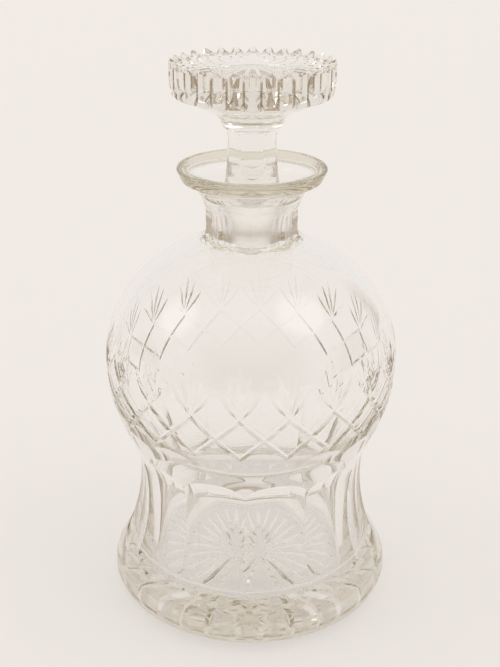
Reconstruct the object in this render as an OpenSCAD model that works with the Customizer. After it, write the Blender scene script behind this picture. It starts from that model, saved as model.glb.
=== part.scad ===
// Cut-glass decanter with a ground-in stopper, in millimetres.
// The vessel stands on z = 0 and its axis is the z axis.

/* [Foot] */
// Radius of the foot at its widest
foot_r = 65.5; // [64:0.5:67]
// Height of the foot's widest line above the table
foot_edge_z = 11; // [9:0.5:12]
// Height where the foot's edge meets the waist's curve
foot_top_z = 17.5; // [16:0.5:19]
// Radius of the flat ring that the decanter stands on
foot_flat_r = 54.5; // [52:0.5:56]
// Thickness of solid glass under the cavity
floor_t = 14; // [12:0.5:16]

/* [Waist] */
// Radius of the waist at its narrowest
waist_r = 52.5; // [51:0.5:54]
// Height of the narrowest line
waist_z = 58; // [55:1:61]
// Radius of the concave curve above the narrowest line
waist_curve_r = 65; // [60:1:70]

/* [Globe] */
// Radius of the globe at its widest
globe_r = 66; // [64:0.5:68]
// Height of the globe's widest line
globe_z = 118; // [115:1:121]
// Height from the widest line to where the shoulder would close on the axis
shoulder_h = 58.5; // [57:0.5:60]

/* [Neck and rim] */
// Outer radius of the neck
neck_r = 20; // [19:0.5:21]
// Height at which the neck starts to flare into the rim
neck_z = 180; // [178:1:182]
// Outer radius of the rim
rim_r = 32.4; // [31:0.2:34]
// Height of the rim's top
rim_z = 205.3; // [203:0.1:207]
// Height of the band round the rim
lip_t = 5.8; // [5:0.1:6.4]

/* [Glass walls] */
// Wall of the globe at its widest line
globe_wall = 4; // [3:0.5:5]
// Wall of the waist at its narrowest line, before the flutes are cut
waist_wall = 6.5; // [6:0.5:7.5]

/* [Cut flutes and panels] */
// Number of flutes round the waist
flutes = 12; // [11:1:14]
// Depth of a flute
flute_depth = 2; // [1.9:0.1:2.2]
// Height where a flute reaches its full depth
flute_low_z = 31; // [29:1:34]
// Height where a flute starts to run out at its top
flute_high_z = 69; // [66:1:71]
// Radius of the stone that a flute runs out on
flute_stone_r = 22; // [18:1:24]
// Turn of the flutes about the axis, from a ridge facing the front
flute_turn = -2.5; // [-15:0.5:15]
// Number of panels round the neck
neck_panels = 8; // [8:1:10]
// Distance from the axis to a neck panel
neck_panel_r = 18.6; // [18:0.1:19]
// Number of flats round the stopper's stem
stem_flats = 6; // [6:1:8]
// Distance from the axis to a flat of the stem
stem_flat_r = 9.3; // [9:0.1:9.6]

/* [Stopper] */
// Height of the whole decanter with its stopper in
total_h = 250; // [246:1:254]
// Radius of the stopper's head over its teeth
head_r = 35; // [33:0.5:37]
// Height of the head's edge
head_h = 14.5; // [13:0.5:16]
// Number of teeth round the head
head_teeth = 30; // [24:2:36]
// Radius of the stem at its thinnest
stem_r = 10.3; // [9.5:0.1:10.8]
// Radius of the ground plug at its top
plug_top_r = 12.5; // [12:0.1:13]
// Radius of the ground plug at its bottom
plug_bottom_r = 10; // [9.5:0.1:10.5]
// Height of the plug's lower end
plug_z = 172.5; // [172:0.5:174]
// Height of the top of the ground bore
bore_top_z = 193; // [191:0.5:194]
// Radial gap between the ground plug and its bore
plug_gap = 0.05; // [0.02:0.01:0.08]

/* [Star under the foot] */
// Number of rays in the star
star_rays = 24; // [16:4:28]
// Depth of a ray's groove
star_depth = 2; // [1:0.5:2.5]
// Depth of the grooves on the head's top, at its edge
top_ray_depth = 3; // [2:0.5:3.5]

/* [Hidden] */
$fn = 96;

// Points along an elliptic arc in the section plane, from angle a0 to a1
function arc(cr, cz, rr, rz, a0, a1, n) =
    [for (i = [0:n]) let (a = a0 + (a1 - a0) * i / n) [cr + rr * cos(a), cz + rz * sin(a)]];

// Radius of a circle that bulges by rise over a half chord of run
function bulge_r(rise, run) = (run * run + rise * rise) / (2 * rise);

// Radius arc from point p up to point q that is hollow seen from outside
function hollow_arc(p, q, r, n) =
    let (d = q - p, centre = (p + q) / 2 + [d[1], -d[0]] / norm(d) * sqrt(r * r - d * d / 4),
        from_p = p - centre, from_q = q - centre)
    arc(centre[0], centre[1], r, r, atan2(from_p[1], from_p[0]), atan2(from_q[1], from_q[0]), n);

// Foot: its lower edge is a quarter ellipse, its upper edge a short arc
foot_over = 1.8;
foot_top_r = foot_r - foot_over;
foot_over_r = bulge_r(foot_r - foot_top_r, foot_top_z - foot_edge_z);
foot_over_a = asin((foot_top_z - foot_edge_z) / foot_over_r);

// Waist: a wide arc down to the foot and a tighter one up to the globe
low_curve_r = bulge_r(foot_top_r - waist_r, waist_z - foot_top_z);
low_curve_a = asin((waist_z - foot_top_z) / low_curve_r);

// Globe: the radius of its lower arc makes it tangent to the waist's upper arc
reach = waist_r + waist_curve_r - globe_r;
rise = globe_z - waist_z;
globe_low_r = (reach * reach + rise * rise - waist_curve_r * waist_curve_r)
    / (2 * (waist_curve_r - reach));
tangent_a = atan2(rise, reach + globe_low_r);

// Shoulder: an ellipse that stops where the neck's fillet starts
neck_fillet_r = 4;
neck_fillet_h = 5.5;
shoulder_end_r = neck_r + neck_fillet_r;
shoulder_end_a = acos(shoulder_end_r / globe_r);
shoulder_end_z = globe_z + shoulder_h * sin(shoulder_end_a);
neck_base_z = shoulder_end_z + neck_fillet_h;

// Rim: the flare is a quarter ellipse, and the band round it leans in towards its lower edge
lip_lean = 1.8;
lip_top_round = 1;
lip_low_round = 0.8;
lip_flat = 2.9;
lip_low_r = rim_r - lip_lean - lip_low_round;
lip_low_z = rim_z - lip_t;
lip_a = atan(lip_lean / lip_t);
dish_r = rim_r - lip_flat;

// Stones: how far they reach out past the glass, and how wide they are
stone_reach = 80;
stone_w = 36;

// Panels of the neck and flats of the stem: heights of their straight part, radii of their ends
neck_panel_low_z = 177.5;
neck_panel_high_z = 186;
neck_stone_r = 5;
stem_flat_low_z = 209;
stem_flat_high_z = 220;
stem_low_stone_r = 14;
stem_high_stone_r = 2.5;

// Bore: a ground cone that the plug sits in
plug_slope = (plug_top_r - plug_bottom_r) / (bore_top_z - plug_z);
bore_run = 2;
bore_low_z = plug_z - bore_run;
bore_low_r = plug_bottom_r - plug_slope * bore_run + plug_gap;
bore_top_r = plug_top_r + plug_gap;

// Cavity: radii and heights of its own curves
cavity_globe_r = globe_r - globe_wall;
cavity_globe_h = shoulder_h - globe_wall - 1;
cavity_waist_r = waist_r - waist_wall;
cavity_floor_r = 41;
cavity_corner = 9;
cavity_foot_r = cavity_floor_r + cavity_corner;
cavity_foot_z = floor_t + cavity_corner;
cavity_low_r = bulge_r(cavity_foot_r - cavity_waist_r, waist_z - cavity_foot_z);
cavity_low_a = asin((waist_z - cavity_foot_z) / cavity_low_r);
cavity_reach = cavity_waist_r + waist_curve_r - cavity_globe_r;
cavity_globe_low_r = (cavity_reach * cavity_reach + rise * rise - waist_curve_r * waist_curve_r)
    / (2 * (waist_curve_r - cavity_reach));
cavity_tangent_a = atan2(rise, cavity_reach + cavity_globe_low_r);
throat_w = 3;
cavity_end_a = acos((bore_low_r + throat_w) / cavity_globe_r);
overlap = 0.01;

outer_outline = concat(
    [[0, 0]],
    arc(foot_flat_r, foot_edge_z, foot_r - foot_flat_r, foot_edge_z, -90, 0, 6),
    arc(foot_r - foot_over_r, foot_edge_z, foot_over_r, foot_over_r, foot_over_a / 3, foot_over_a, 2),
    arc(waist_r + low_curve_r, waist_z, low_curve_r, low_curve_r, 180 + low_curve_a * 5 / 6, 180, 5),
    arc(waist_r + waist_curve_r, waist_z, waist_curve_r, waist_curve_r,
        180 - tangent_a / 5, 180 - tangent_a, 4),
    arc(globe_r - globe_low_r, globe_z, globe_low_r, globe_low_r, -tangent_a * 5 / 6, 0, 5),
    arc(0, globe_z, globe_r, shoulder_h, shoulder_end_a / 12, shoulder_end_a, 11),
    arc(shoulder_end_r, neck_base_z, neck_fillet_r, neck_base_z - shoulder_end_z, 250, 180, 4),
    arc(lip_low_r, neck_z, lip_low_r - neck_r, lip_low_z - neck_z, 180, 90, 9),
    arc(lip_low_r, lip_low_z + lip_low_round, lip_low_round, lip_low_round, -60, -lip_a, 2),
    arc(rim_r - lip_top_round, rim_z - lip_top_round, lip_top_round, lip_top_round, -lip_a, 90, 4),
    [[0, rim_z]]
);

cavity_outline = concat(
    [[0, floor_t]],
    arc(cavity_floor_r, cavity_foot_z, cavity_corner, cavity_corner, -90, 0, 5),
    arc(cavity_waist_r + cavity_low_r, waist_z, cavity_low_r, cavity_low_r,
        180 + cavity_low_a * 3 / 4, 180, 3),
    arc(cavity_waist_r + waist_curve_r, waist_z, waist_curve_r, waist_curve_r,
        180 - cavity_tangent_a / 5, 180 - cavity_tangent_a, 4),
    arc(cavity_globe_r - cavity_globe_low_r, globe_z, cavity_globe_low_r, cavity_globe_low_r,
        -cavity_tangent_a * 5 / 6, 0, 5),
    arc(0, globe_z, cavity_globe_r, cavity_globe_h, cavity_end_a / 10, cavity_end_a, 9),
    [[bore_low_r, bore_low_z], [bore_top_r, bore_top_z]],
    [[dish_r, rim_z + overlap], [0, rim_z + overlap]]
);

// Stopper: the plug, the stem, the collar and the flare up to the head
plug_chamfer = 1;
stem_z = 217;
stem_foot_z = bore_top_z + 5;
stem_foot_out = 1.6;
stem_curve_r = bulge_r(stem_foot_out, stem_z - stem_foot_z);
stem_curve_a = asin((stem_z - stem_foot_z) / stem_curve_r);
stem_top = [stem_r + 0.2, stem_z + 1.8];
collar_low = [12, 220.5];
collar_edge = [13, 223.5];
flare_end = [17, 228.8];
flare_curve_r = 15;

// Head: its edge is upright at the top and rounds in below, its top dips towards the middle
head_z = total_h - head_h;
head_round_r = 2;
head_round_h = 9;
head_rise = 1.5;
head_slope_w = 3.5;

stopper_outline = concat(
    [[0, plug_z]],
    [[plug_bottom_r - plug_chamfer, plug_z]],
    [[plug_bottom_r + plug_slope * plug_chamfer, plug_z + plug_chamfer]],
    [[plug_top_r, bore_top_z]],
    arc(stem_r + stem_curve_r, stem_z, stem_curve_r, stem_curve_r, 180 + stem_curve_a, 180, 3),
    [stem_top, collar_low],
    hollow_arc(collar_edge, flare_end, flare_curve_r, 3),
    arc(head_r - head_round_r, head_z + head_round_h, head_round_r, head_round_h, -90, 0, 4),
    [[head_r, total_h], [head_r - head_slope_w, total_h - head_rise], [0, total_h - head_rise]]
);

// Path of a stone down a flute: it follows the waist's curves at one depth and runs out at both ends
low_floor_r = low_curve_r + flute_depth;
low_floor_a = asin((waist_z - flute_low_z) / low_floor_r);
high_floor_r = waist_curve_r + flute_depth;
high_floor_a = asin((flute_high_z - waist_z) / high_floor_r);
flute_path = concat(
    arc(waist_r + low_curve_r - (low_floor_r - flute_stone_r) * cos(low_floor_a),
        waist_z - (low_floor_r - flute_stone_r) * sin(low_floor_a),
        flute_stone_r, flute_stone_r, 240, 180 + low_floor_a, 5),
    arc(waist_r + low_curve_r, waist_z, low_floor_r, low_floor_r, 180 + low_floor_a * 2 / 3, 180, 2),
    arc(waist_r + waist_curve_r, waist_z, high_floor_r, high_floor_r,
        180 - high_floor_a / 3, 180 - high_floor_a * 2 / 3, 1),
    arc(waist_r + waist_curve_r - (high_floor_r - flute_stone_r) * cos(high_floor_a),
        waist_z + (high_floor_r - flute_stone_r) * sin(high_floor_a),
        flute_stone_r, flute_stone_r, 180 - high_floor_a, 120, 5)
);

// Path of a stone down a straight panel, with a radius at its lower and its upper end
function panel_path(floor_r, low_z, high_z, low_r, high_r) = concat(
    arc(floor_r + low_r, low_z, low_r, low_r, 270, 180, 6),
    arc(floor_r + high_r, high_z, high_r, high_r, 180, 90, 6)
);

// What a stone takes off along a path that runs upwards in the section plane
module stone(path) {
    rotate([90, 0, 0])
        linear_extrude(height = stone_w, center = true)
            polygon(concat(path, [[stone_reach, path[len(path) - 1][1]], [stone_reach, path[0][1]]]));
}

// One V-cut groove down the edge of the head
module edge_groove() {
    groove_side = 5.1;
    groove_out = 1.1;
    run = 2;
    translate([head_r + groove_out, 0, head_z - run])
        rotate([0, 0, 45])
            translate([-groove_side / 2, -groove_side / 2, 0])
                cube([groove_side, groove_side, head_h + 2 * run]);
}

// One straight V-cut ray of the star under the foot
module star_ray() {
    ray_side = star_depth * sqrt(2);
    ray_start = 9;
    ray_end = 46;
    translate([ray_start, 0, 0])
        rotate([45, 0, 0])
            translate([0, -ray_side / 2, -ray_side / 2])
                cube([ray_end - ray_start, ray_side, ray_side]);
}

// One V-cut ray on the top of the head, deeper towards the edge
module top_ray() {
    ray_side = top_ray_depth * 2;
    ray_start = 4;
    fall = atan((top_ray_depth - head_rise) / (head_r - ray_start));
    translate([ray_start, 0, total_h - head_rise])
        rotate([0, fall, 0])
            rotate([45, 0, 0])
                cube([head_r, ray_side, ray_side]);
}

// Repeats its child at equal steps round the z axis, from angle start
module around(count, start = 0) {
    for (i = [0:count - 1])
        rotate([0, 0, start + 360 * i / count]) children();
}

module decanter() {
    color([0.88, 0.92, 0.90, 0.35])
        difference() {
            rotate_extrude() polygon(outer_outline);
            rotate_extrude() polygon(cavity_outline);
            around(star_rays) star_ray();
            around(flutes, -90 + flute_turn + 180 / flutes) stone(flute_path);
            around(neck_panels, -90 + 180 / neck_panels)
                stone(panel_path(neck_panel_r, neck_panel_low_z, neck_panel_high_z,
                    neck_stone_r, neck_stone_r));
        }
}

module stopper() {
    color([0.86, 0.90, 0.88, 0.45])
        difference() {
            rotate_extrude() polygon(stopper_outline);
            around(head_teeth) edge_groove();
            around(head_teeth) top_ray();
            around(stem_flats, -90)
                stone(panel_path(stem_flat_r, stem_flat_low_z, stem_flat_high_z,
                    stem_low_stone_r, stem_high_stone_r));
        }
}

decanter();
stopper();
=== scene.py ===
import math

import bmesh
import bpy
from mathutils import Matrix, Vector


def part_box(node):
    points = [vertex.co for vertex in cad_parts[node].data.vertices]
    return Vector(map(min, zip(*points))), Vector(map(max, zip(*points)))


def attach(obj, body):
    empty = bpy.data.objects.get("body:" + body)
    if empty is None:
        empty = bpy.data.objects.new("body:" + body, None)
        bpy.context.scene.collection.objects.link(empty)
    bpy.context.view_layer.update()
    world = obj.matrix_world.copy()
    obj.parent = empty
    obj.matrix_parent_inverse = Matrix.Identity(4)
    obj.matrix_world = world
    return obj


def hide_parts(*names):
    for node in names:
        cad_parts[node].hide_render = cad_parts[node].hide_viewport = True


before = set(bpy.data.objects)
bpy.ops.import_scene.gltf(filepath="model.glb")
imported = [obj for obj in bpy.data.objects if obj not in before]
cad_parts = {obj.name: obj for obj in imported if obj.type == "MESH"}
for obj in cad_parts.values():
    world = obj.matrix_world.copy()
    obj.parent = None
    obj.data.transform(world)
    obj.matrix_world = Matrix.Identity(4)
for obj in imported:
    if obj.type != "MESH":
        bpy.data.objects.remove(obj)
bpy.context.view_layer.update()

bl_info = {
    "name": "Cut-glass decanter",
    "version": (1, 0, 0),
    "blender": (4, 5, 0),
    "location": "3D View > Sidebar > Decanter",
    "description": "Turns and cuts a glass decanter and its ground stopper",
    "category": "Add Mesh",
}

MM = 0.001
UP = Vector((0, 0, 1))

_, vessel_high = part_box("decanter")
stopper_low, stopper_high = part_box("stopper")
WIDEST_R = min(vessel_high[0], vessel_high[1])
HEAD_R = min(stopper_high[0], stopper_high[1])


# ---------------------------------------------------------------- sizes and colours

def length(name, description, default):
    """A size in metres that the sidebar shows with its unit."""
    return bpy.props.FloatProperty(
        name=name, description=description, default=default, unit="LENGTH", precision=5)


def angle(name, description, degrees):
    """An angle, given in degrees."""
    return bpy.props.FloatProperty(
        name=name, description=description, default=math.radians(degrees), subtype="ANGLE")


def count(name, description, default):
    """A number of like cuts round the axis."""
    return bpy.props.IntProperty(name=name, description=description, default=default, min=3, max=60)


def colour(name, description, default):
    """A colour in linear red, green and blue."""
    return bpy.props.FloatVectorProperty(
        name=name, description=description, default=default, subtype="COLOR", size=3, min=0, max=1)


def amount(name, description, default):
    """A plain number."""
    return bpy.props.FloatProperty(name=name, description=description, default=default)


class VesselSizes(bpy.types.PropertyGroup):
    """Outline of the vessel, outside and inside"""

    foot_in: length("Foot inset", "How far the foot's widest line is inside the globe's", 0.0005)
    foot_edge_z: length("Foot edge", "Height of the foot's widest line", 0.011)
    foot_over: length("Foot curve", "How far the foot curves in above its widest line", 0.0018)
    foot_top_z: length("Foot top", "Height where the foot meets the waist", 0.0175)
    foot_flat_r: length("Foot flat", "Radius of the ring it stands on", 0.0545)
    floor_t: length("Floor", "Solid glass under the cavity", 0.014)
    floor_r: length("Floor radius", "Radius of the cavity's flat floor", 0.041)
    floor_corner_r: length("Floor corner", "Radius of the curve round the cavity's floor", 0.009)
    waist_r: length("Waist", "Radius of the waist", 0.0525)
    waist_z: length("Waist height", "Height of the narrowest line", 0.058)
    waist_curve_r: length("Waist curve", "Radius of the curve up to the globe", 0.065)
    waist_wall: length("Waist wall", "Wall of the waist before the flutes", 0.0065)
    globe_z: length("Globe height", "Height of the globe's widest line", 0.118)
    shoulder_h: length("Shoulder", "Height of the shoulder's ellipse", 0.0585)
    globe_wall: length("Globe wall", "Wall of the globe", 0.004)
    crown_extra: length("Crown", "Extra wall at the top of the shoulder", 0.001)
    throat_w: length("Throat", "Width of the step from the shoulder into the bore", 0.003)
    neck_fillet_r: length("Neck fillet", "Radius of the curve from shoulder to neck", 0.004)
    neck_fillet_h: length("Fillet height", "Height of the curve from shoulder to neck", 0.0055)
    neck_r: length("Neck", "Outer radius of the neck", 0.020)
    neck_z: length("Flare", "Height where the neck starts to flare", 0.180)
    rim_r: length("Rim", "Outer radius of the rim", 0.0324)
    lip_t: length("Lip", "Height of the band round the rim", 0.0058)
    lip_lean: length("Lip lean", "How far the lip's band leans out over its height", 0.0018)
    lip_low_r: length("Lip's lower edge", "Radius that rounds the lip's lower edge", 0.0008)
    lip_crest_r: length("Lip's crest", "Radius that rounds the lip's crest", 0.001)
    lip_flat: length("Lip flat", "Width of the lip's top outside the dish", 0.0029)


class PlugSizes(bpy.types.PropertyGroup):
    """The ground plug and the bore that it sits in"""

    top_r: length("Top", "Radius of the plug at its top", 0.0125)
    bottom_r: length("Bottom", "Radius of the plug at its bottom", 0.010)
    top_z: length("Top height", "Height of the top of the ground bore", 0.193)
    gap: length("Gap", "Radial gap between plug and bore", 0.00005)
    bore_run: length("Bore run", "How far the bore runs on below the plug", 0.002)
    chamfer: length("Chamfer", "Chamfer round the plug's lower end", 0.001)


class CutSizes(bpy.types.PropertyGroup):
    """Cuts in the vessel"""

    flutes: count("Flutes", "Flutes round the waist", 12)
    flute_turn: angle("Flute turn", "Turn of the flutes from the front", -2.5)
    flute_depth: length("Flute depth", "Depth of a flute", 0.002)
    flute_low_z: length("Flute low", "Height where a flute reaches its full depth", 0.031)
    flute_high_z: length("Flute high", "Height where a flute starts to run out", 0.069)
    flute_stone_r: length("Flute stone", "Radius of the stone that a flute runs out on", 0.022)
    neck_panels: count("Neck panels", "Panels round the neck", 8)
    neck_panel_r: length("Neck panel", "Axis to a neck panel", 0.0186)
    neck_panel_low_z: length("Panel low", "Lower end of a neck panel's straight part", 0.1775)
    neck_panel_high_z: length("Panel high", "Upper end of a neck panel's straight part", 0.186)
    neck_stone_r: length("Neck stone", "Radius that a neck panel runs out on", 0.005)
    diamonds: count("Diamonds", "Diamonds round the globe", 20)
    diamond_turn: angle("Diamond turn", "Turn of the diamonds from the front", -4.0)
    diamond_top_z: length("Diamond top", "Height of the diamonds' upper points", 0.116)
    diamond_low_z: length("Diamond low", "Height of the diamonds' lower points", 0.0968)
    mitre_depth: length("Mitre depth", "Depth of the V cuts", 0.0006)
    mitre_slant: angle("Mitre slant", "Slant of a V cut's side from its middle plane", 68)
    star_inner_r: length("Star middle", "Radius where the star's rays start", 0.004)
    star_outer_r: length("Star edge", "Radius where the star's rays end", 0.049)
    star_rays: count("Star rays", "Rays of the star under the foot", 24)
    star_depth: length("Star depth", "Depth of the star's rays", 0.0012)
    star_slant: angle("Star slant", "Slant of a ray's side from its middle plane", 70)


class StopperSizes(bpy.types.PropertyGroup):
    """Outline and cuts of the stopper"""

    head_h: length("Head", "Height of the head's edge", 0.0145)
    head_dip: length("Head dip", "Depth of the head's middle below its edge", 0.0015)
    head_slope_w: length("Head slope", "Width of the slope from the head's edge to its middle", 0.0035)
    head_round_r: length("Head round", "Width of the round under the head's edge", 0.002)
    head_round_h: length("Round height", "Height of the round under the head's edge", 0.009)
    teeth: count("Teeth", "Teeth round the head", 30)
    groove_side: length("Groove", "Side of the square stone that cuts between two teeth", 0.0051)
    groove_out: length("Groove centre", "How far outside the head that stone's centre runs", 0.0011)
    ray_side: length("Ray", "Side of the square stone that cuts a ray on the head's top", 0.006)
    ray_start_r: length("Ray start", "Radius where a ray starts", 0.004)
    stem_r: length("Stem", "Radius of the stem at its thinnest", 0.0103)
    stem_z: length("Stem height", "Height of the stem's thinnest line", 0.217)
    stem_flats: count("Stem flats", "Flats round the stem", 6)
    stem_flat_r: length("Stem flat", "Axis to a flat of the stem", 0.0093)
    stem_flat_low_z: length("Flat low", "Lower end of a flat's straight part", 0.209)
    stem_flat_high_z: length("Flat high", "Upper end of a flat's straight part", 0.220)
    stem_low_stone_r: length("Lower stone", "Radius that a flat runs out on below", 0.014)
    stem_high_stone_r: length("Upper stone", "Radius that a flat runs out on above", 0.0025)
    stem_foot_out: length("Stem foot", "How far the stem widens down to its foot", 0.0016)
    stem_foot_up: length("Stem foot height", "Height of the stem's foot above the plug", 0.005)
    collar_r: length("Collar", "Radius of the collar's lower edge", 0.013)
    collar_z: length("Collar height", "Height of the collar's lower edge", 0.2235)
    flare_r: length("Flare", "Radius where the flare meets the head", 0.017)
    flare_z: length("Flare height", "Height where the flare meets the head", 0.2288)
    flare_curve_r: length("Flare curve", "Radius of the flare's hollow curve", 0.015)


class GlassLook(bpy.types.PropertyGroup):
    """Colour and finish of the glass"""

    ior: amount("Refraction", "Index of refraction of the glass", 1.52)
    tint: colour("Tint", "Colour that thick glass lets through", (0.745, 0.685, 0.56))
    tint_density: amount("Tint density", "How fast the tint builds up, per metre", 8.0)
    lip: colour("Lip", "Tone of the thick glass at the rim's lip", (0.74, 0.71, 0.57))
    # Painted shade: a dark colour laid in a ring deep in the head's grooves, standing in for the dark
    # lines that the grooves show.
    painted_groove_shade: colour("Film", "Colour of the film deep in the head's grooves", (0.3, 0.22, 0.14))
    ground: amount("Ground roughness", "Roughness of the ground plug and bore", 0.3)
    # Painted glow: the ground faces give out a faint light of their own, standing in for the light
    # that ground glass scatters.
    scatter: colour("Scatter", "Colour of the light that the ground faces give out", (1, 0.92, 0.85))
    ground_painted_glow: amount("Ground scatter", "Strength of the ground faces' own light", 0.05)
    worn: amount("Worn roughness", "Roughness of the worn patches under the foot", 0.25)


class StudioLook(bpy.types.PropertyGroup):
    """Floor, light and camera"""

    floor: colour("Floor", "Colour of the floor", (0.33, 0.318, 0.31))
    floor_cloud: colour("Floor cloud", "Colour of the floor's faint clouds", (0.3, 0.285, 0.27))
    floor_glow: colour("Floor glow", "Colour of the floor's own light", (0.81, 0.765, 0.725))
    floor_glow_strength: amount("Glow strength", "Strength of the floor's own light", 0.7)
    floor_drop: length("Floor drop", "Gap between the floor and the foot", 0.0003)
    floor_reach: length("Floor reach", "From the axis to the floor's edge", 6.0)
    backdrop: colour("Backdrop", "Colour above the floor's far edge", (0.87, 0.82, 0.775))
    pale_side: colour("Pale side", "Colour of the studio's light sides", (0.86, 0.84, 0.82))
    dark_side: colour("Dark side", "Colour of the studio's dark sides", (0.42, 0.33, 0.24))
    camera_distance: length("Distance", "Camera to the axis, along the floor", 0.4764)
    camera_height: length("Height", "Camera above the floor", 0.3294)
    camera_side: length("Side", "Camera to the right of the axis", -0.0005)
    camera_pitch: angle("Pitch", "Camera's downward tilt", 23.008)
    camera_roll: angle("Roll", "Camera's roll", 0.318)
    camera_lens: amount("Lens", "Focal length in millimetres", 61.35)


# ---------------------------------------------------------------- turning

def arc(centre_r, centre_z, reach_r, reach_z, start, end, steps):
    """Points (radius, height) along an elliptic arc, its ends included, angles in degrees."""
    turn = [math.radians(start + (end - start) * i / steps) for i in range(steps + 1)]
    return [(centre_r + reach_r * math.cos(t), centre_z + reach_z * math.sin(t)) for t in turn]


def bulge_radius(rise, run):
    """Radius of a circle that bulges by rise over half a chord of run."""
    return (run * run + rise * rise) / (2 * rise)


def hollow_arc(start, end, radius, steps):
    """An arc from start up to end, each (radius, height), hollow seen from outside."""
    start, end = Vector(start), Vector(end)
    chord = end - start
    side = Vector((chord.y, -chord.x)).normalized()
    centre = (start + end) / 2 + side * math.sqrt(radius * radius - chord.length_squared / 4)
    angles = [math.degrees(math.atan2(p.y - centre.y, p.x - centre.x)) for p in (start, end)]
    return arc(*centre, radius, radius, *angles, steps)


def lower_globe_radius(widest_r, waist_r, curve_r, rise):
    """Radius of the arc below the widest line that is tangent to the waist's upper curve."""
    reach = waist_r + curve_r - widest_r
    return (reach * reach + rise * rise - curve_r * curve_r) / (2 * (curve_r - reach))


def waist_to_globe(widest_r, waist_r, v):
    """The two tangent arcs from the waist's narrowest line up to the globe's widest."""
    curve = v.waist_curve_r
    rise = v.globe_z - v.waist_z
    low_r = lower_globe_radius(widest_r, waist_r, curve, rise)
    tangent = math.degrees(math.atan2(rise, waist_r + curve - widest_r + low_r))
    hollow = arc(waist_r + curve, v.waist_z, curve, curve, 180, 180 - tangent, 12)
    round_side = arc(widest_r - low_r, v.globe_z, low_r, low_r, -tangent, 0, 14)
    return hollow[1:] + round_side[1:]


def lower_waist(v):
    """The waist's wide curve down to the foot: its radius and its angle at the foot, in degrees."""
    foot_top_r = WIDEST_R - v.foot_in - v.foot_over
    run = v.waist_z - v.foot_top_z
    radius = bulge_radius(foot_top_r - v.waist_r, run)
    return radius, math.degrees(math.asin(run / radius))


def outer_outline(v):
    """Outside of the vessel, from the middle of its base to the crest of its lip."""
    foot_r = WIDEST_R - v.foot_in
    over_h = v.foot_top_z - v.foot_edge_z
    over_r = bulge_radius(v.foot_over, over_h)
    over_a = math.degrees(math.asin(over_h / over_r))
    low_r, low_a = lower_waist(v)
    rim_z = vessel_high[2]
    shoulder_r = v.neck_r + v.neck_fillet_r
    shoulder_a = math.degrees(math.acos(shoulder_r / WIDEST_R))
    shoulder_z = v.globe_z + v.shoulder_h * math.sin(math.radians(shoulder_a))
    neck_base_z = shoulder_z + v.neck_fillet_h
    lip_a = math.degrees(math.atan(v.lip_lean / v.lip_t))
    lip_r = v.rim_r - v.lip_lean - v.lip_low_r
    lip_z = rim_z - v.lip_t
    crest = v.lip_crest_r
    return (
        [(0, 0), (v.foot_flat_r, 0)]
        + arc(v.foot_flat_r, v.foot_edge_z, foot_r - v.foot_flat_r, v.foot_edge_z, -90, 0, 20)[1:]
        + arc(foot_r - over_r, v.foot_edge_z, over_r, over_r, 0, over_a, 8)[1:]
        + arc(v.waist_r + low_r, v.waist_z, low_r, low_r, 180 + low_a, 180, 20)[1:]
        + waist_to_globe(WIDEST_R, v.waist_r, v)
        + arc(0, v.globe_z, WIDEST_R, v.shoulder_h, 0, shoulder_a, 36)[1:]
        + arc(shoulder_r, neck_base_z, v.neck_fillet_r, v.neck_fillet_h, 262, 180, 16)
        + arc(lip_r, v.neck_z, lip_r - v.neck_r, lip_z - v.neck_z, 180, 90, 26)
        + arc(lip_r, lip_z + v.lip_low_r, v.lip_low_r, v.lip_low_r, -90, -lip_a, 10)[1:]
        + arc(v.rim_r - crest, rim_z - crest, crest, crest, -lip_a, 90, 14)
    )


def cavity_outline(v, plug):
    """Inside of the vessel, from the lip's crest down the dish and the bore to the floor."""
    plug_z = stopper_low[2]
    slope = (plug.top_r - plug.bottom_r) / (plug.top_z - plug_z)
    bore_low = (plug.bottom_r - slope * plug.bore_run + plug.gap, plug_z - plug.bore_run)
    bore_top = (plug.top_r + plug.gap, plug.top_z)
    globe_r = WIDEST_R - v.globe_wall
    globe_h = v.shoulder_h - v.globe_wall - v.crown_extra
    end_a = math.degrees(math.acos((bore_low[0] + v.throat_w) / globe_r))
    waist_r = v.waist_r - v.waist_wall
    corner = v.floor_corner_r
    foot_r = v.floor_r + corner
    foot_z = v.floor_t + corner
    low_r = bulge_radius(foot_r - waist_r, v.waist_z - foot_z)
    low_a = math.degrees(math.asin((v.waist_z - foot_z) / low_r))
    dish_r = v.rim_r - v.lip_flat
    rising = (
        [(0, v.floor_t), (v.floor_r, v.floor_t)]
        + arc(v.floor_r, foot_z, corner, corner, -90, 0, 16)[1:]
        + arc(waist_r + low_r, v.waist_z, low_r, low_r, 180 + low_a, 180, 16)[1:]
        + waist_to_globe(globe_r, waist_r, v)
        + arc(0, v.globe_z, globe_r, globe_h, 0, end_a, 32)[1:]
        + [bore_low, bore_top, (dish_r, vessel_high[2])]
    )
    return rising[::-1]


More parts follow.
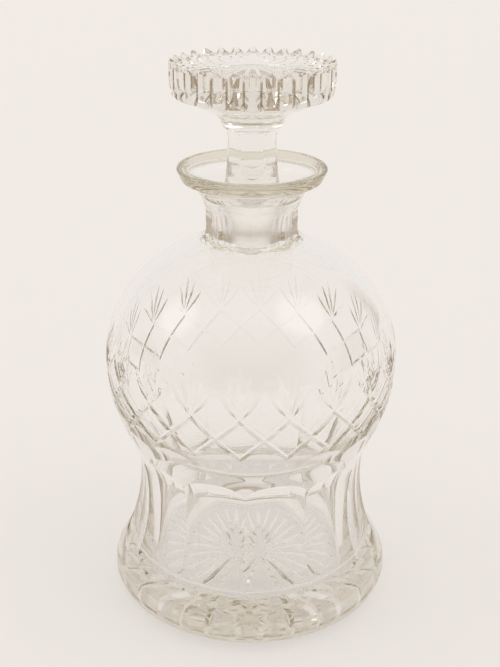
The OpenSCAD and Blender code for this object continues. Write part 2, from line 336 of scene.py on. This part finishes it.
def stopper_outline(s, plug):
    """The solid stopper, from the middle of its plug to the middle of its head."""
    low_z = stopper_low[2]
    top_z = stopper_high[2]
    middle_z = top_z - s.head_dip
    slope = (plug.top_r - plug.bottom_r) / (plug.top_z - low_z)
    head_z = top_z - s.head_h
    stem_h = s.stem_z - plug.top_z - s.stem_foot_up
    curve_r = bulge_radius(s.stem_foot_out, stem_h)
    curve_a = math.degrees(math.asin(stem_h / curve_r))
    stem_top = (s.stem_r + 0.2 * MM, s.stem_z + 1.8 * MM)
    collar_low = (s.collar_r - 1.0 * MM, s.collar_z - 3.0 * MM)
    return (
        [(0, low_z), (plug.bottom_r - plug.chamfer, low_z)]
        + [(plug.bottom_r + slope * plug.chamfer, low_z + plug.chamfer)]
        + [(plug.top_r, plug.top_z)]
        + arc(s.stem_r + curve_r, s.stem_z, curve_r, curve_r, 180 + curve_a, 180, 10)
        + [stem_top, collar_low]
        + hollow_arc((s.collar_r, s.collar_z), (s.flare_r, s.flare_z), s.flare_curve_r, 8)
        + arc(HEAD_R - s.head_round_r, head_z + s.head_round_h,
              s.head_round_r, s.head_round_h, -90, 0, 14)
        + [(HEAD_R, top_z), (HEAD_R - s.head_slope_w, middle_z), (0, middle_z)]
    )


def turned(outline, steps=180):
    """A closed bmesh: the outline in the XZ plane spun once round the z axis."""
    bm = bmesh.new()
    corners = [bm.verts.new((r, 0, z)) for r, z in outline]
    sides = [bm.edges.new(pair) for pair in zip(corners, corners[1:])]
    bmesh.ops.spin(
        bm, geom=corners + sides, cent=(0, 0, 0), axis=UP, angle=math.tau, steps=steps,
        use_merge=True, use_duplicate=False)
    bmesh.ops.remove_doubles(bm, verts=bm.verts[:], dist=1e-6)
    bmesh.ops.recalc_face_normals(bm, faces=bm.faces[:])
    return bm


# ---------------------------------------------------------------- cutting

def around(number, turn=0.0):
    """The turns, in radians, of cuts that repeat evenly round the axis."""
    return [turn + math.tau * i / number for i in range(number)]


def flute_path(v, c):
    """A stone's path up a flute: one depth along the waist's curves, run out at both ends."""
    low_r, _ = lower_waist(v)
    out = c.flute_stone_r
    leave = 60  # degrees round the stone, from its deepest point to the end of the path
    low_floor = low_r + c.flute_depth
    high_floor = v.waist_curve_r + c.flute_depth
    low_a = math.asin((v.waist_z - c.flute_low_z) / low_floor)
    high_a = math.asin((c.flute_high_z - v.waist_z) / high_floor)
    low_centre = (v.waist_r + low_r - (low_floor - out) * math.cos(low_a),
                  v.waist_z - (low_floor - out) * math.sin(low_a))
    high_centre = (v.waist_r + v.waist_curve_r - (high_floor - out) * math.cos(high_a),
                   v.waist_z + (high_floor - out) * math.sin(high_a))
    low_a, high_a = math.degrees(low_a), math.degrees(high_a)
    return (
        arc(*low_centre, out, out, 180 + leave, 180 + low_a, 14)
        + arc(v.waist_r + low_r, v.waist_z, low_floor, low_floor, 180 + low_a, 180, 8)[1:]
        + arc(v.waist_r + v.waist_curve_r, v.waist_z,
              high_floor, high_floor, 180, 180 - high_a, 4)[1:]
        + arc(*high_centre, out, out, 180 - high_a, 180 - leave, 16)[1:]
    )


def panel_path(floor_r, low_z, high_z, low_r, high_r):
    """A stone's path up a straight panel, with a radius at each end."""
    return (
        arc(floor_r + low_r, low_z, low_r, low_r, 270, 180, 16)
        + arc(floor_r + high_r, high_z, high_r, high_r, 180, 90, 16)
    )


def stone(path, azimuth, reach=0.080, width=0.036):
    """What a stone takes off outside a path of (radius, height), at an azimuth from the front."""
    bm = bmesh.new()
    outline = path + [(reach, path[-1][1]), (reach, path[0][1])]
    side = bm.faces.new([bm.verts.new((r, -width / 2, z)) for r, z in outline])
    made = bmesh.ops.extrude_face_region(bm, geom=[side])["geom"]
    far = [part for part in made if isinstance(part, bmesh.types.BMVert)]
    bmesh.ops.translate(bm, verts=far, vec=(0, width, 0))
    bmesh.ops.recalc_face_normals(bm, faces=bm.faces[:])
    bmesh.ops.rotate(
        bm, verts=bm.verts[:], cent=(0, 0, 0), matrix=Matrix.Rotation(azimuth - math.pi / 2, 3, "Z"))
    return bm


def leaf(t):
    """Depth along a cut that is pointed at both ends: 0, 1 in the middle, 0."""
    return 4 * t * (1 - t)


def mitre(line, slant, height):
    """What a V-edged wheel takes off along a line of (bottom point, outward direction).

    slant is the angle of the V's sides from its middle plane, and height is how far its upper
    edges are above its bottom.
    """
    travel = line[-1][0] - line[0][0]
    half = height * math.tan(slant)
    spans = len(line) - 1
    bm = bmesh.new()
    bmesh.ops.create_cone(bm, cap_ends=True, segments=3, radius1=1, radius2=1, depth=1)
    ridges = [e for e in bm.edges if abs(e.verts[0].co.z - e.verts[1].co.z) > 0.5]
    bmesh.ops.subdivide_edges(bm, edges=ridges, cuts=spans - 1)
    for vert in bm.verts:
        bottom, out = line[round((vert.co.z + 0.5) * spans)]
        # -1 or 1 on the V's two upper edges, 0 along its bottom
        lean = round(vert.co.x / math.sin(math.tau / 3))
        side = travel.cross(out).normalized() * half
        vert.co = bottom + out * height * abs(lean) + side * lean
    if bm.calc_volume(signed=True) < 0:
        bmesh.ops.reverse_faces(bm, faces=bm.faces[:])
    return bm


def as_object(name, bm):
    """Puts a bmesh into the scene as an object at the origin."""
    mesh = bpy.data.meshes.new(name)
    bm.to_mesh(mesh)
    bm.free()
    made = bpy.data.objects.new(name, mesh)
    bpy.context.scene.collection.objects.link(made)
    return made


def carve(piece, cutters):
    """Takes the shape of every cutter out of the piece in one pass."""
    rack = bpy.data.collections.new("cutters")
    bpy.context.scene.collection.children.link(rack)
    tools = []
    for bm in cutters:
        tool = as_object("cutter", bm)
        bpy.context.scene.collection.objects.unlink(tool)
        rack.objects.link(tool)
        tools.append(tool)
    cut = piece.modifiers.new("cut", "BOOLEAN")
    cut.operation = "DIFFERENCE"
    cut.operand_type = "COLLECTION"
    cut.collection = rack
    cut.solver = "MANIFOLD"
    uncut_faces = len(piece.data.polygons)
    scene_graph = bpy.context.evaluated_depsgraph_get()
    scene_graph.update()
    result = bpy.data.meshes.new_from_object(piece.evaluated_get(scene_graph))
    piece.modifiers.clear()
    old = piece.data
    piece.data = result
    bpy.data.meshes.remove(old)
    for tool in tools:
        bpy.data.meshes.remove(tool.data)
    bpy.data.collections.remove(rack)
    if len(piece.data.polygons) == uncut_faces:
        raise RuntimeError(f"the cut left {piece.name} as it was")


def polish(piece, material, crease=7.0):
    """Smooth shading with crisp cut edges, and the glass on it."""
    bm = bmesh.new()
    bm.from_mesh(piece.data)
    bmesh.ops.dissolve_degenerate(bm, dist=1e-6, edges=bm.edges[:])
    limit = math.radians(crease)
    for face in bm.faces:
        face.smooth = True
    for edge in bm.edges:
        edge.smooth = edge.is_manifold and edge.calc_face_angle(0) < limit
    bm.to_mesh(piece.data)
    bm.free()
    weighted = piece.modifiers.new("even shading", "WEIGHTED_NORMAL")
    weighted.keep_sharp = True
    piece.data.materials.clear()
    piece.data.materials.append(material)


class GlobeSurface:
    """The outside of the globe, as a place to lay cuts."""

    def __init__(self, v):
        self.v = v
        self.low_r = lower_globe_radius(
            WIDEST_R, v.waist_r, v.waist_curve_r, v.globe_z - v.waist_z)

    def radius(self, z):
        """Radius of the globe at a height."""
        above = z - self.v.globe_z
        if above > 0:
            return WIDEST_R * math.sqrt(1 - (above / self.v.shoulder_h) ** 2)
        return WIDEST_R - self.low_r + math.sqrt(self.low_r ** 2 - above ** 2)

    def normal(self, azimuth, z):
        """Outward direction at an azimuth from the front and a height."""
        step = 0.1 * MM
        slope = (self.radius(z + step) - self.radius(z - step)) / (2 * step)
        return Vector((math.sin(azimuth), -math.cos(azimuth), -slope)).normalized()

    def point(self, azimuth, z, depth):
        """A point at a depth under the surface."""
        r = self.radius(z)
        on_top = Vector((r * math.sin(azimuth), -r * math.cos(azimuth), z))
        return on_top - self.normal(azimuth, z) * depth

    def cut(self, start, end, depth, slant, steps=14, proud=1.2 * MM):
        """A V cut from start to end, each (azimuth, height).

        depth is a function of the way along it, from 0 to 1, and proud is how far the V stands
        out of the glass.
        """
        line = []
        for i in range(steps + 1):
            t = i / steps
            azimuth, z = (a + (b - a) * t for a, b in zip(start, end))
            line.append((self.point(azimuth, z, depth(t)), self.normal(azimuth, z)))
        return mitre(line, slant, depth(0.5) + proud)


def lattice_cuts(globe, c):
    """The two crossing families of V cuts that bound the diamonds."""
    pitch = math.tau / c.diamonds
    past = 0.02
    end_share = 0.8
    fall = c.diamond_top_z - c.diamond_low_z

    def depth(t):
        return c.mitre_depth * (end_share + (1 - end_share) * leaf(t))

    made = []
    for turn in around(c.diamonds, c.diamond_turn):
        for side in (1, -1):
            start = (turn - side * pitch * past, c.diamond_top_z + fall * past)
            end = (turn + side * pitch * (1 + past), c.diamond_low_z - fall * past)
            made.append(globe.cut(start, end, depth, c.mitre_slant))
    return made


def fan_cuts(globe, c):
    """The five-bladed sprig above each diamond."""
    blades = [
        # turn of the tip in degrees, height of the tip and of the start above the diamond's point
        (0.0, 0.0240, 0.0030),
        (4.3, 0.0205, 0.0022),
        (-4.3, 0.0205, 0.0022),
        (8.2, 0.0128, 0.0008),
        (-8.2, 0.0128, 0.0008),
    ]

    def depth(t):
        return c.mitre_depth * leaf(t)

    made = []
    for turn in around(c.diamonds, c.diamond_turn):
        for lean, tip, root in blades:
            side = math.radians(lean)
            start = (turn + side * root / tip, c.diamond_top_z + root)
            end = (turn + side, c.diamond_top_z + tip)
            made.append(globe.cut(start, end, depth, c.mitre_slant))
    return made


def star_cuts(c, steps=24):
    """The leaf-shaped rays of the star, cut up into the base from below."""
    proud = 0.5 * MM
    made = []
    for turn in around(c.star_rays, math.pi / c.star_rays):
        along = Vector((math.sin(turn), -math.cos(turn), 0))
        line = []
        for i in range(steps + 1):
            t = i / steps
            reach = c.star_inner_r + (c.star_outer_r - c.star_inner_r) * t
            line.append((along * reach + UP * c.star_depth * leaf(t), -UP))
        made.append(mitre(line, c.star_slant, c.star_depth + proud))
    return made


def head_cuts(s):
    """V grooves down the head's edge and rays across its top, one of each per tooth."""
    top_z = stopper_high[2]
    past = 2 * MM
    tilt = math.atan(s.head_dip / (HEAD_R - s.ray_start_r))
    on_edge = math.pi / 4
    groove_place = (
        Matrix.Translation((HEAD_R + s.groove_out, 0, top_z - s.head_h / 2))
        @ Matrix.Rotation(on_edge, 4, "Z")
        @ Matrix.Diagonal((s.groove_side, s.groove_side, s.head_h + 2 * past, 1)))
    ray_place = (
        Matrix.Translation((s.ray_start_r, 0, top_z - s.head_dip))
        @ Matrix.Rotation(tilt, 4, "Y")
        @ Matrix.Rotation(on_edge, 4, "X")
        @ Matrix.Diagonal((HEAD_R, s.ray_side, s.ray_side, 1))
        @ Matrix.Translation((0.5, 0.5, 0.5)))
    made = []
    for turn in around(s.teeth):
        for place in (groove_place, ray_place):
            bm = bmesh.new()
            bmesh.ops.create_cube(bm, size=1, matrix=Matrix.Rotation(turn, 4, "Z") @ place)
            made.append(bm)
    return made


# ---------------------------------------------------------------- shaders

class Wire:
    """A number in a shader: arithmetic on it adds Math nodes."""

    def __init__(self, paint, socket):
        self.paint = paint
        self.socket = socket

    def maths(self, operation, *values):
        """A Math node on the values."""
        return self.paint.node("ShaderNodeMath", {"operation": operation}, dict(enumerate(values)))

    def __add__(self, other):
        return self.maths("ADD", self, other)

    __radd__ = __add__

    def __sub__(self, other):
        return self.maths("SUBTRACT", self, other)

    def __rsub__(self, other):
        return self.maths("SUBTRACT", other, self)

    def __mul__(self, other):
        return self.maths("MULTIPLY", self, other)

    __rmul__ = __mul__

    def __gt__(self, other):
        return self.maths("GREATER_THAN", self, other)

    def __lt__(self, other):
        return self.maths("LESS_THAN", self, other)

    def most(self, other):
        """The larger of the two."""
        return self.maths("MAXIMUM", self, other)

    def root(self):
        """The square root."""
        return self.maths("SQRT", self)

    def ramp(self, low, high):
        """0 below low, 1 above high, smooth between."""
        return self.paint.node(
            "ShaderNodeMapRange", {"interpolation_type": "SMOOTHSTEP", "clamp": True},
            {"Value": self, "From Min": low, "From Max": high})


class Paint:
    """Adds nodes to one node tree."""

    def __init__(self, tree):
        self.tree = tree
        tree.nodes.clear()

    def node(self, kind, settings=None, inputs=None, output=0):
        """A node of a type, its settings first, then its sockets' values or links."""
        made = self.tree.nodes.new(kind)
        for key, value in (settings or {}).items():
            setattr(made, key, value)
        for key, value in (inputs or {}).items():
            if isinstance(value, Wire):
                self.tree.links.new(value.socket, made.inputs[key])
            else:
                made.inputs[key].default_value = value
        return Wire(self, made.outputs[output]) if len(made.outputs) else None

    def axes(self, vector):
        """A vector's x, y and z."""
        parts = self.node("ShaderNodeSeparateXYZ", None, {"Vector": vector})
        return [Wire(self, parts.socket.node.outputs[i]) for i in range(3)]

    def noise(self, place, scale, detail):
        """Noise on the object, with about as many cells per metre as its scale says."""
        return self.node(
            "ShaderNodeTexNoise", None, {"Vector": place, "Scale": scale, "Detail": detail})

    def mix(self, factor, first, second):
        """One colour where factor is 0, the other where it is 1."""
        ends = [end if isinstance(end, Wire) else (*end, 1) for end in (first, second)]
        return self.node(
            "ShaderNodeMix", {"data_type": "RGBA"},
            {"Factor": factor, "A": ends[0], "B": ends[1]}, output="Result")


def between(value, low, high, soft):
    """1 where a shader value lies between low and high, with soft ends."""
    return value.ramp(low - soft, low + soft) * (1 - value.ramp(high - soft, high + soft))


def cut_glass(name, look, ground_z, ground_r, ring_tint_and_shade, tone_z, tone_r):
    """Polished clear glass, matt where it is ground, with a faint painted glow there, and a colour in
    one ring.

    The ring's colour is the lip's deeper tint on the vessel, and painted shade deep in the head's
    grooves on the stopper. ground_z is the ground cone's (low, high) and ground_r its radius; tone_z
    and tone_r are the (low, high) heights and radii of the ring.
    """
    material = bpy.data.materials.new(name)
    material.use_nodes = True
    paint = Paint(material.node_tree)
    place = paint.node("ShaderNodeTexCoord", output="Object")
    x, y, z = paint.axes(place)
    off_axis = (x * x + y * y).root()
    edge = 0.2 * MM
    foot_ring_z = 0.3 * MM
    ground = between(z, *ground_z, edge) * (off_axis < ground_r)
    # The ring's own colour: the lip's deeper tint on the vessel, and painted shade deep in the head's
    # grooves on the stopper.
    ring = between(z, *tone_z, MM) * between(off_axis, *tone_r, edge)
    speckle = paint.noise(place, 900.0, 3.0)
    wear = paint.noise(place, 260.0, 4.0)
    waves = paint.noise(place, 28.0, 1.0)
    standing = (z < foot_ring_z) * wear.ramp(0.45, 0.65)
    matt = look.ground * 0.8 + look.ground * 0.4 * speckle
    normal = paint.node(
        "ShaderNodeBump", None, {"Strength": 0.05, "Distance": MM, "Height": waves})
    surface = paint.node("ShaderNodeBsdfPrincipled", None, {
        "Base Color": paint.mix(ring, (1, 1, 1), ring_tint_and_shade),
        "Transmission Weight": 1.0,
        "IOR": look.ior,
        "Roughness": ground * matt + standing * look.worn,
        "Normal": normal,
        # Painted glow on the ground faces, standing in for the light that ground glass scatters.
        "Emission Color": paint.mix(ground, (0, 0, 0), look.scatter),
        "Emission Strength": look.ground_painted_glow})
    depth = paint.node("ShaderNodeVolumeAbsorption", None, {
        "Color": (*look.tint, 1), "Density": look.tint_density})
    paint.node("ShaderNodeOutputMaterial", None, {"Surface": surface, "Volume": depth})
    return material


def floor_finish(look):
    """A matt pale floor with the faintest unevenness."""
    material = bpy.data.materials.new("floor")
    material.use_nodes = True
    paint = Paint(material.node_tree)
    place = paint.node("ShaderNodeTexCoord", output="Object")
    cloud = paint.noise(place, 3.0, 1.0)
    surface = paint.node("ShaderNodeBsdfPrincipled", None, {
        "Base Color": paint.mix(cloud * 0.04, look.floor, look.floor_cloud),
        "Roughness": 0.9,
        "Specular IOR Level": 0.1,
        "Emission Color": (*look.floor_glow, 1),
        "Emission Strength": look.floor_glow_strength})
    paint.node("ShaderNodeOutputMaterial", None, {"Surface": surface})
    return material


def studio_world(look):
    """A pale room with two soft boxes, a dark doorway, and dark sides and back low down.

    Seen directly it is only the plain backdrop: the room lights the piece and shows in the glass.
    """
    world = bpy.data.worlds.new("studio")
    world.use_nodes = True
    bpy.context.scene.world = world
    paint = Paint(world.node_tree)
    x, y, z = paint.axes(paint.node("ShaderNodeTexCoord", output="Generated"))
    low_down = 1 - z.ramp(0.3, 0.5)
    open_room = y.ramp(-0.95, -0.35).most(z.ramp(0.3, 0.75))
    far_right = x.ramp(0.91, 0.98)
    far_left = 1 - x.ramp(-0.985, -0.94)
    sides = far_right.most(far_left) * low_down
    doorway = between(x * 0.67 - y * 0.74, -0.08, 0.08, 0.03) * (x > 0) * low_down
    pale = open_room * (1 - sides * 0.8) * (1 - doorway)
    left_box = (z * 0.65 - x * 0.76 - y * 0.05).ramp(0.95, 0.99)
    right_box = (x * 0.55 - y * 0.2 + z * 0.81).ramp(0.93, 0.98)
    seen = paint.node("ShaderNodeLightPath", output="Is Camera Ray")
    room = paint.mix(pale, look.dark_side, look.pale_side)
    light = paint.node("ShaderNodeBackground", None, {
        "Color": paint.mix(seen, room, look.backdrop),
        "Strength": 1.0 + (left_box + right_box) * (1 - seen)})
    paint.node("ShaderNodeOutputWorld", None, {"Surface": light})


# ---------------------------------------------------------------- operators

class DECANTER_OT_vessel(bpy.types.Operator):
    """Turn the vessel, cut its flutes, panels, diamonds, sprigs and star"""

    bl_idname = "decanter.vessel"
    bl_label = "Vessel"

    def execute(self, context):
        scene = context.scene
        look = scene.glass_look
        v, plug, c = scene.vessel_sizes, scene.plug_sizes, scene.cut_sizes
        piece = as_object("decanter_glass", turned(outer_outline(v) + cavity_outline(v, plug)))
        globe = GlobeSurface(v)
        rim_z = vessel_high[2]
        half_flute = math.pi / c.flutes
        half_panel = math.pi / c.neck_panels
        flute = flute_path(v, c)
        carve(piece, [stone(flute, turn) for turn in around(c.flutes, c.flute_turn + half_flute)])
        panel = panel_path(
            c.neck_panel_r, c.neck_panel_low_z, c.neck_panel_high_z, c.neck_stone_r, c.neck_stone_r)
        carve(piece, [stone(panel, turn) for turn in around(c.neck_panels, half_panel)])
        carve(piece, lattice_cuts(globe, c))
        carve(piece, fan_cuts(globe, c))
        carve(piece, star_cuts(c))
        glass = cut_glass(
            "cut_glass_vessel", look,
            ground_z=(stopper_low[2] - plug.bore_run, plug.top_z),
            ground_r=plug.top_r + 0.6 * MM,
            ring_tint_and_shade=look.lip,
            tone_z=(rim_z - v.lip_t, rim_z + MM),
            tone_r=(v.rim_r - 3 * MM, v.rim_r + MM))
        polish(piece, glass)
        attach(piece, "vessel")
        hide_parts("decanter")
        return {"FINISHED"}


class DECANTER_OT_stopper(bpy.types.Operator):
    """Turn the stopper, cut its teeth, rays and stem flats, grind its plug"""

    bl_idname = "decanter.stopper"
    bl_label = "Stopper"

    def execute(self, context):
        scene = context.scene
        look = scene.glass_look
        s, plug = scene.stopper_sizes, scene.plug_sizes
        top_z = stopper_high[2]
        piece = as_object("stopper_glass", turned(stopper_outline(s, plug)))
        carve(piece, head_cuts(s))
        flat = panel_path(
            s.stem_flat_r, s.stem_flat_low_z, s.stem_flat_high_z,
            s.stem_low_stone_r, s.stem_high_stone_r)
        carve(piece, [stone(flat, turn) for turn in around(s.stem_flats)])
        glass = cut_glass(
            "cut_glass_stopper", look,
            ground_z=(stopper_low[2] + 0.5 * MM, plug.top_z),
            ground_r=plug.top_r + 0.3 * MM,
            # Painted shade laid in a ring deep in the head's grooves.
            ring_tint_and_shade=look.painted_groove_shade,
            tone_z=(top_z - s.head_h + MM, top_z - 3 * MM),
            tone_r=(HEAD_R - 2.8 * MM, HEAD_R - 2.0 * MM))
        polish(piece, glass)
        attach(piece, "stopper")
        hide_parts("stopper")
        return {"FINISHED"}


class DECANTER_OT_stage(bpy.types.Operator):
    """Lay the pale floor, light it softly and place the camera"""

    bl_idname = "decanter.stage"
    bl_label = "Stage"

    def execute(self, context):
        scene = context.scene
        look = scene.studio_look
        bm = bmesh.new()
        bmesh.ops.create_grid(
            bm, x_segments=8, y_segments=8, size=look.floor_reach,
            matrix=Matrix.Translation((0, 0, -look.floor_drop)))
        floor = as_object("floor", bm)
        floor.data.materials.append(floor_finish(look))
        studio_world(look)
        camera_data = bpy.data.cameras.new("camera")
        camera_data.lens = look.camera_lens
        camera_data.clip_start = 0.01
        camera = bpy.data.objects.new("camera", camera_data)
        scene.collection.objects.link(camera)
        place = Vector((look.camera_side, -look.camera_distance, look.camera_height))
        camera.matrix_world = (
            Matrix.Translation(place)
            @ Matrix.Rotation(math.pi / 2 - look.camera_pitch, 4, "X")
            @ Matrix.Rotation(look.camera_roll, 4, "Z")
        )
        scene.camera = camera
        scene.view_settings.view_transform = "Standard"
        bounces = 32
        scene.cycles.max_bounces = bounces
        scene.cycles.glossy_bounces = bounces
        scene.cycles.transmission_bounces = bounces
        return {"FINISHED"}


class DECANTER_PT_panel(bpy.types.Panel):
    """Lists the pieces and the stage"""

    bl_idname = "DECANTER_PT_panel"
    bl_label = "Decanter"
    bl_space_type = "VIEW_3D"
    bl_region_type = "UI"
    bl_category = "Decanter"

    def draw(self, context):
        for operator in (DECANTER_OT_vessel, DECANTER_OT_stopper, DECANTER_OT_stage):
            self.layout.operator(operator.bl_idname)


SETTINGS = {
    "vessel_sizes": VesselSizes,
    "plug_sizes": PlugSizes,
    "cut_sizes": CutSizes,
    "stopper_sizes": StopperSizes,
    "glass_look": GlassLook,
    "studio_look": StudioLook,
}
CLASSES = [
    *SETTINGS.values(), DECANTER_OT_vessel, DECANTER_OT_stopper, DECANTER_OT_stage,
    DECANTER_PT_panel]


def register():
    """Adds the classes, and the settings to every scene."""
    for cls in CLASSES:
        bpy.utils.register_class(cls)
    for name, group in SETTINGS.items():
        setattr(bpy.types.Scene, name, bpy.props.PointerProperty(type=group))


def unregister():
    """Takes away what register added."""
    for name in SETTINGS:
        delattr(bpy.types.Scene, name)
    for cls in reversed(CLASSES):
        bpy.utils.unregister_class(cls)


def main():
    """Makes the stage and both pieces."""
    register()
    bpy.ops.decanter.stage()
    bpy.ops.decanter.vessel()
    bpy.ops.decanter.stopper()


if __name__ == "__main__":
    main()
